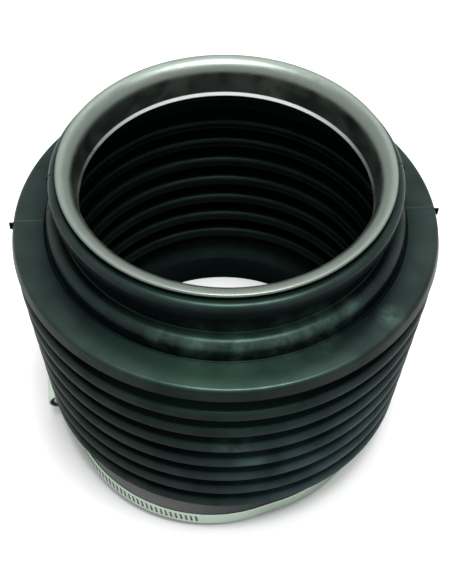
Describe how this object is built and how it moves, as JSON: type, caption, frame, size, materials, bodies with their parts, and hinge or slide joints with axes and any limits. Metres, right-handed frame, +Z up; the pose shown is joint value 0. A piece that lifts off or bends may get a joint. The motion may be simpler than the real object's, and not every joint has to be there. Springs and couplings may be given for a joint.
{
  "type": "rubber bellows boot",
  "caption": "Round rubber bellows boot with a wide shoulder flange, a flared steel insert ring in its neck and a loose worm-drive clamp round its lower cuff.",
  "frame": {"origin": "centre of the lower cuff's end face, on the surface the boot stands on", "axes": "+Z up the bellows axis towards the steel ring; -Y is the side nearest the viewer, +X to the viewer's right; the mould parting plane lies 4 degrees from the XZ plane"},
  "size_m": [0.1852, 0.1828, 0.1575],
  "materials": {
    "rubber": "satin moulded rubber",
    "ring_steel": "satin pressed steel",
    "band_steel": "rolled stainless strip",
    "screw_steel": "zinc-plated steel"
  },
  "bodies": {
    "boot": {"bellows": "rubber", "steel_ring": "ring_steel", "clamp_band": "band_steel", "clamp_housing": "band_steel"},
    "screw": {"clamp_screw": "screw_steel"}
  },
  "joints": [
    {"name": "screw_turn", "type": "hinge", "parent": "boot", "child": "screw", "pos_m": [-0.08319, -0.01499, 0.01362], "axis": [-0.1476, 0.9886, 0.0315], "continuous": true}
  ]
}
